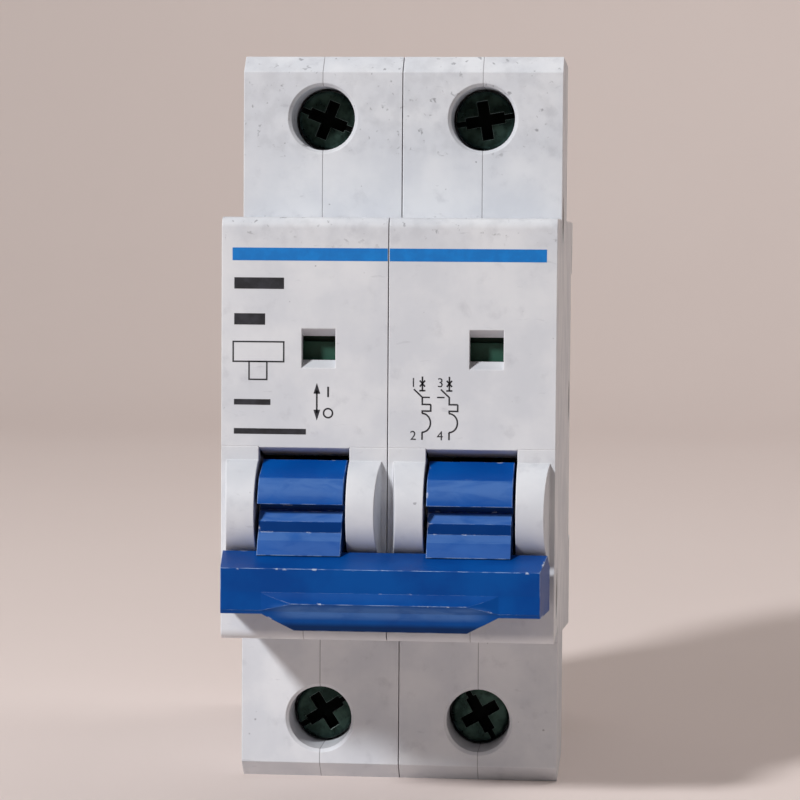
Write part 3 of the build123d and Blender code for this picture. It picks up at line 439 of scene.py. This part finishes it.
SLOT_LOOKS = {
    "bar_blue": blue_plastic("bar_blue_worn_and_painted_light", on_bar=True),
    "handle_blue": blue_plastic("handle_blue_worn_and_painted_light", on_bar=False),
    "flag_paint": flag_paint(),
    "clip_grey": moulded("clip_grey", linear(92, 94, 98), linear(112, 114, 118)),
    "screw_black": screw_finish(),
    "steel_zinc": metal(
        "steel_zinc", linear(150, 150, 146), linear(186, 186, 180), 0.34, brush=(1, 1, 0.2)
    ),
    "steel_plain": metal(
        "steel_plain", linear(110, 112, 116), linear(150, 152, 156), 0.38, brush=(0.2, 1, 1)
    ),
    "spring_steel": metal("spring_steel", linear(88, 90, 94), linear(140, 142, 146), 0.3),
    "copper": metal(
        "copper_bare", linear(168, 92, 58), linear(206, 128, 90), 0.34, brush=(1, 0.2, 0.2)
    ),
    "enamel_copper": enamelled_wire(),
    "bimetal": metal(
        "bimetal_strip", linear(140, 132, 120), linear(172, 164, 150), 0.36, brush=(1, 1, 0.15)
    ),
    "fibre": fibre_board(),
    "bobbin_white": moulded("bobbin_white", linear(206, 202, 188), linear(222, 219, 206)),
    "lever_white": moulded("lever_white", linear(202, 202, 198), linear(220, 220, 216)),
    "rivet_brass": metal("rivet_plated", linear(150, 140, 112), linear(190, 182, 152), 0.34, tarnish=0.35),
}


def paint(piece, material):
    """Give a piece one material."""
    piece.data.materials.clear()
    piece.data.materials.append(material)


def dress_nodes():
    """Give every node its material."""
    halves = {pole: case_plastic(f"case_plastic_{pole}", MIDDLE[pole]) for pole in POLES}
    cover = case_plastic("cover_plastic")
    braid = braided_copper()
    for part in frame["record"]["subparts"]:
        name, slot = part["node"], part["material_slot"]
        if slot == "case_grey":
            material = halves[name.split("_")[0]]
        elif slot == "cover_grey":
            material = cover
        elif name.endswith("_braid"):
            material = braid
        else:
            material = SLOT_LOOKS[slot]
        paint(NODES[name], material)


# ---------------------------------------------------------------- printed label

INK_LIFT = 0.015 * MM
# In millimetres
STRIPE_BELOW_TOP = (4.6, 3.25)
BOX_LINE = 0.16
ARROW_LINE = 0.18
SYMBOL_LINE = 0.17
LINK_LINE = 0.15
NUMERAL_HEIGHT = 1.0


class Print:
    """Flat printed marks, gathered into one mesh just in front of the nose."""

    def __init__(self, name, material):
        self.name, self.material = name, material
        self.points, self.faces = [], []

    def polygon(self, outline):
        """A filled outline of (x, z) points in millimetres."""
        start = len(self.points)
        self.points += [(x * MM, NOSE_Y - INK_LIFT, z * MM) for x, z in outline]
        self.faces.append(tuple(range(start, start + len(outline))))

    def rectangle(self, left, right, low, high):
        """A filled upright rectangle, in millimetres."""
        self.polygon([(left, low), (right, low), (right, high), (left, high)])

    def line(self, route, width, closed=False):
        """A line of even width through (x, z) points, mitred at its corners."""
        points = [Vector(p) for p in route]
        count = len(points)
        sides = []
        for i, point in enumerate(points):
            before = points[i - 1] if (i or closed) else None
            after = points[(i + 1) % count] if (i < count - 1 or closed) else None
            ahead = (after - point).normalized() if after else (point - before).normalized()
            behind = (point - before).normalized() if before else ahead
            middle = (ahead + behind).normalized()
            across = Vector((-middle.y, middle.x))
            reach = width / 2 / max(0.35, across.dot(Vector((-ahead.y, ahead.x))))
            sides.append((point + across * reach, point - across * reach))
        for i in range(count if closed else count - 1):
            (a, b), (c, d) = sides[i], sides[(i + 1) % count]
            self.polygon([tuple(b), tuple(d), tuple(c), tuple(a)])

    def arc(self, centre, radius, start, end, width, steps=16, squash=1.0):
        """An arc from start to end, in degrees, squashed sideways."""
        angles = [radians(start + (end - start) * i / steps) for i in range(steps + 1)]
        x, z = centre
        self.line([(x + radius * squash * cos(a), z + radius * sin(a)) for a in angles], width)

    def made(self):
        """Turn the marks into one piece that stays with the case."""
        mesh = bpy.data.meshes.new(self.name)
        mesh.from_pydata(self.points, [], self.faces)
        mesh.update()
        piece = bpy.data.objects.new(self.name, mesh)
        bpy.context.scene.collection.objects.link(piece)
        paint(piece, self.material)
        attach(piece, "case")


FONT_SIZE_FOR_HEIGHT = 1.38  # a figure's height is less than its font's size


def numeral(name, text, x, z, height, material):
    """A plain printed figure, as a flat mesh."""
    curve = bpy.data.curves.new(name, "FONT")
    curve.body = text
    curve.size = height * FONT_SIZE_FOR_HEIGHT * MM
    curve.align_x = "CENTER"
    curve.align_y = "CENTER"
    curve.resolution_u = 6
    piece = bpy.data.objects.new(name, curve)
    upright = Matrix.Rotation(pi / 2, 4, "X")
    piece.matrix_world = Matrix.Translation((x * MM, NOSE_Y - INK_LIFT, z * MM)) @ upright
    bpy.context.scene.collection.objects.link(piece)
    bpy.context.view_layer.update()
    mesh = bpy.data.meshes.new_from_object(piece)
    mesh.transform(piece.matrix_world)
    bpy.data.objects.remove(piece)
    made = bpy.data.objects.new(name, mesh)
    bpy.context.scene.collection.objects.link(made)
    paint(made, material)
    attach(made, "case")


def breaker_symbol(sheet, x, top, width):
    """The usual circuit symbol of a breaker pole: contact, thermal hook and magnetic arc."""
    sheet.line([(x, top), (x, top - 1.5)], width)
    sheet.line([(x - 0.32, top - 1.5), (x + 0.32, top - 1.5)], width)
    for slant in (0.32, -0.32):
        sheet.line([(x - 0.28, top - 0.75 - slant), (x + 0.28, top - 0.75 + slant)], width)
    sheet.line([(x - 0.9, top - 1.35), (x, top - 2.2), (x, top - 2.95), (x + 0.9, top - 2.95)], width)
    sheet.line([(x + 0.9, top - 2.95), (x + 0.9, top - 3.65), (x, top - 3.65), (x, top - 3.9)], width)
    sheet.arc((x - 0.02, top - 4.9), 1.0, 90, -90, width, squash=0.9)
    sheet.line([(x, top - 5.9), (x, top - 6.7)], width)


def printed_label():
    """Generic label: coloured stripe, plain bars where wording stood, arrow, and circuit symbols."""
    blue = print_ink("stripe_ink", linear(0, 112, 190), linear(0, 122, 202))
    black = print_ink("black_ink", linear(30, 31, 36), linear(48, 49, 56))
    left, right = MIDDLE["pole1"] / MM, MIDDLE["pole2"] / MM
    top = NOSE_TOP / MM
    gap = COVERS["pole1"][1].x / MM
    stripe = Print("label_stripe", blue)
    low, high = (top - below for below in STRIPE_BELOW_TOP)
    stripe.rectangle(left - 7.7, gap - 0.05, low, high)
    stripe.rectangle(-gap + 0.05, right + 7.75, low, high)
    stripe.made()
    marks = Print("label_marks", black)
    # Plain bars in place of the lines of wording
    for low, high, ends in (
        (top - 7.6, top - 6.4, (-7.5, -2.2)),
        (top - 11.4, top - 10.2, (-7.5, -4.2)),
        (top - 19.9, top - 19.3, (-7.5, -3.6)),
        (top - 23.0, top - 22.4, (-7.5, 0.2)),
    ):
        marks.rectangle(left + ends[0], left + ends[1], low, high)
    frame_box = [(-7.6, -13.2), (-2.2, -13.2), (-2.2, -15.3), (-7.6, -15.3)]
    marks.line([(left + x, top + z) for x, z in frame_box], BOX_LINE, closed=True)
    small_box = [(-5.9, -15.3), (-4.0, -15.3), (-4.0, -17.2), (-5.9, -17.2)]
    marks.line([(left + x, top + z) for x, z in small_box], BOX_LINE, closed=True)
    # Two-headed arrow between on and off
    arrow_x, arrow_top, arrow_foot = left + 1.35, top - 17.5, top - 21.5
    marks.line([(arrow_x, arrow_top - 0.8), (arrow_x, arrow_foot + 0.8)], ARROW_LINE)
    for tip, way in ((arrow_top, -1), (arrow_foot, 1)):
        back = tip + way * 1.15
        head = [(arrow_x, tip), (arrow_x - 0.36, back), (arrow_x + 0.36, back)]
        marks.polygon(head[::-way])
    marks.line([(arrow_x + 1.2, top - 17.9), (arrow_x + 1.2, top - 19.0)], 0.2)
    marks.arc((arrow_x + 1.2, top - 20.7), 0.48, 0, 360, SYMBOL_LINE, steps=28)
    # Circuit symbols of the two poles, with the link between their contacts
    symbol_top = top - 16.7
    symbols = (right - 5.25, right - 2.4)
    for x in symbols:
        breaker_symbol(marks, x, symbol_top, SYMBOL_LINE)
    link = symbol_top - 2.2
    marks.line([(symbols[0], link), (symbols[0] + 0.8, link)], LINK_LINE)
    marks.line([(symbols[1] - 1.3, link), (symbols[1] - 0.5, link)], LINK_LINE)
    marks.made()
    for text, pole, z in (("1", 0, -0.7), ("2", 0, -6.3), ("3", 1, -0.7), ("4", 1, -6.3)):
        x = symbols[pole] - 0.95
        numeral(f"label_number_{text}", text, x, symbol_top + z, NUMERAL_HEIGHT, black)


# ---------------------------------------------------------------- room


def floor():
    """Tabletop that curves up into a backdrop."""
    front, back, half, rise, curve = -1.2, 0.55, 1.6, 1.5, 0.35
    profile = [(front, 0.0), (back, 0.0)]
    bends = [radians(5 * i) for i in range(1, 19)]
    profile += [(back + curve * sin(a), curve * (1 - cos(a))) for a in bends]
    profile.append((back + curve, rise))
    points = [(x, y, z) for y, z in profile for x in (-half, half)]
    faces = [(2 * i, 2 * i + 1, 2 * i + 3, 2 * i + 2) for i in range(len(profile) - 1)]
    mesh = bpy.data.meshes.new("floor")
    mesh.from_pydata(points, [], faces)
    for face in mesh.polygons:
        face.use_smooth = True
    piece = bpy.data.objects.new("floor", mesh)
    bpy.context.scene.collection.objects.link(piece)
    paint(piece, floor_surface())


def area_light(name, place, target, size, watts, colour):
    """A round soft light, from a place in metres towards a target."""
    light = bpy.data.lights.new(name, "AREA")
    light.shape = "DISK"
    light.size = size
    light.energy = watts
    light.color = colour
    lamp = bpy.data.objects.new(name, light)
    lamp.location = place
    lamp.rotation_euler = (Vector(target) - Vector(place)).to_track_quat("-Z", "Y").to_euler()
    bpy.context.scene.collection.objects.link(lamp)


def lights():
    """A key light from the upper left, weak fills, and one light for the backdrop."""
    middle = (0, 0, 40 * MM)
    area_light("key", (-0.47, -0.62, 0.55), middle, 0.13, 7.8, (0.98, 0.985, 1.0))
    area_light("fill", (0.95, -0.10, 0.30), middle, 0.6, 0.38, (1.0, 0.91, 0.84))
    area_light("top", (-0.1, 0.2, 0.95), middle, 0.6, 0.6, (1.0, 0.98, 0.96))
    area_light("backdrop", (0.40, 0.20, 0.80), (0.15, 0.85, 0.12), 0.5, 2.6, (1.0, 0.97, 0.96))
    world = bpy.data.worlds.new("studio")
    world.use_nodes = True
    background = world.node_tree.nodes["Background"]
    background.inputs["Color"].default_value = (1.0, 0.93, 0.88, 1)
    background.inputs["Strength"].default_value = 0.15
    bpy.context.scene.world = world


LENS = 123.0  # millimetres, for a picture 36 mm wide
CAMERA_PLACE = (26.0, -315.3, 60.7)  # millimetres
CAMERA_YAW, CAMERA_PITCH, CAMERA_ROLL = 4.92, -3.36, 0.39  # degrees


def camera():
    """Slightly right of and above the middle of the front, looking a little left and down."""
    lens = bpy.data.cameras.new("camera")
    lens.lens = LENS
    lens.sensor_width = 36.0
    lens.clip_start = 0.01
    turn = Matrix.Rotation(radians(CAMERA_YAW), 4, "Z")
    turn = turn @ Matrix.Rotation(pi / 2 + radians(CAMERA_PITCH), 4, "X")
    turn = turn @ Matrix.Rotation(radians(CAMERA_ROLL), 4, "Z")
    place = tuple(value * MM for value in CAMERA_PLACE)
    view = bpy.data.objects.new("camera", lens)
    view.matrix_world = Matrix.Translation(place) @ turn
    bpy.context.scene.collection.objects.link(view)
    bpy.context.scene.camera = view


dress_nodes()
printed_label()
floor()
lights()
camera()
bpy.context.scene.view_settings.view_transform = "Standard"

bpy.context.view_layer.update()
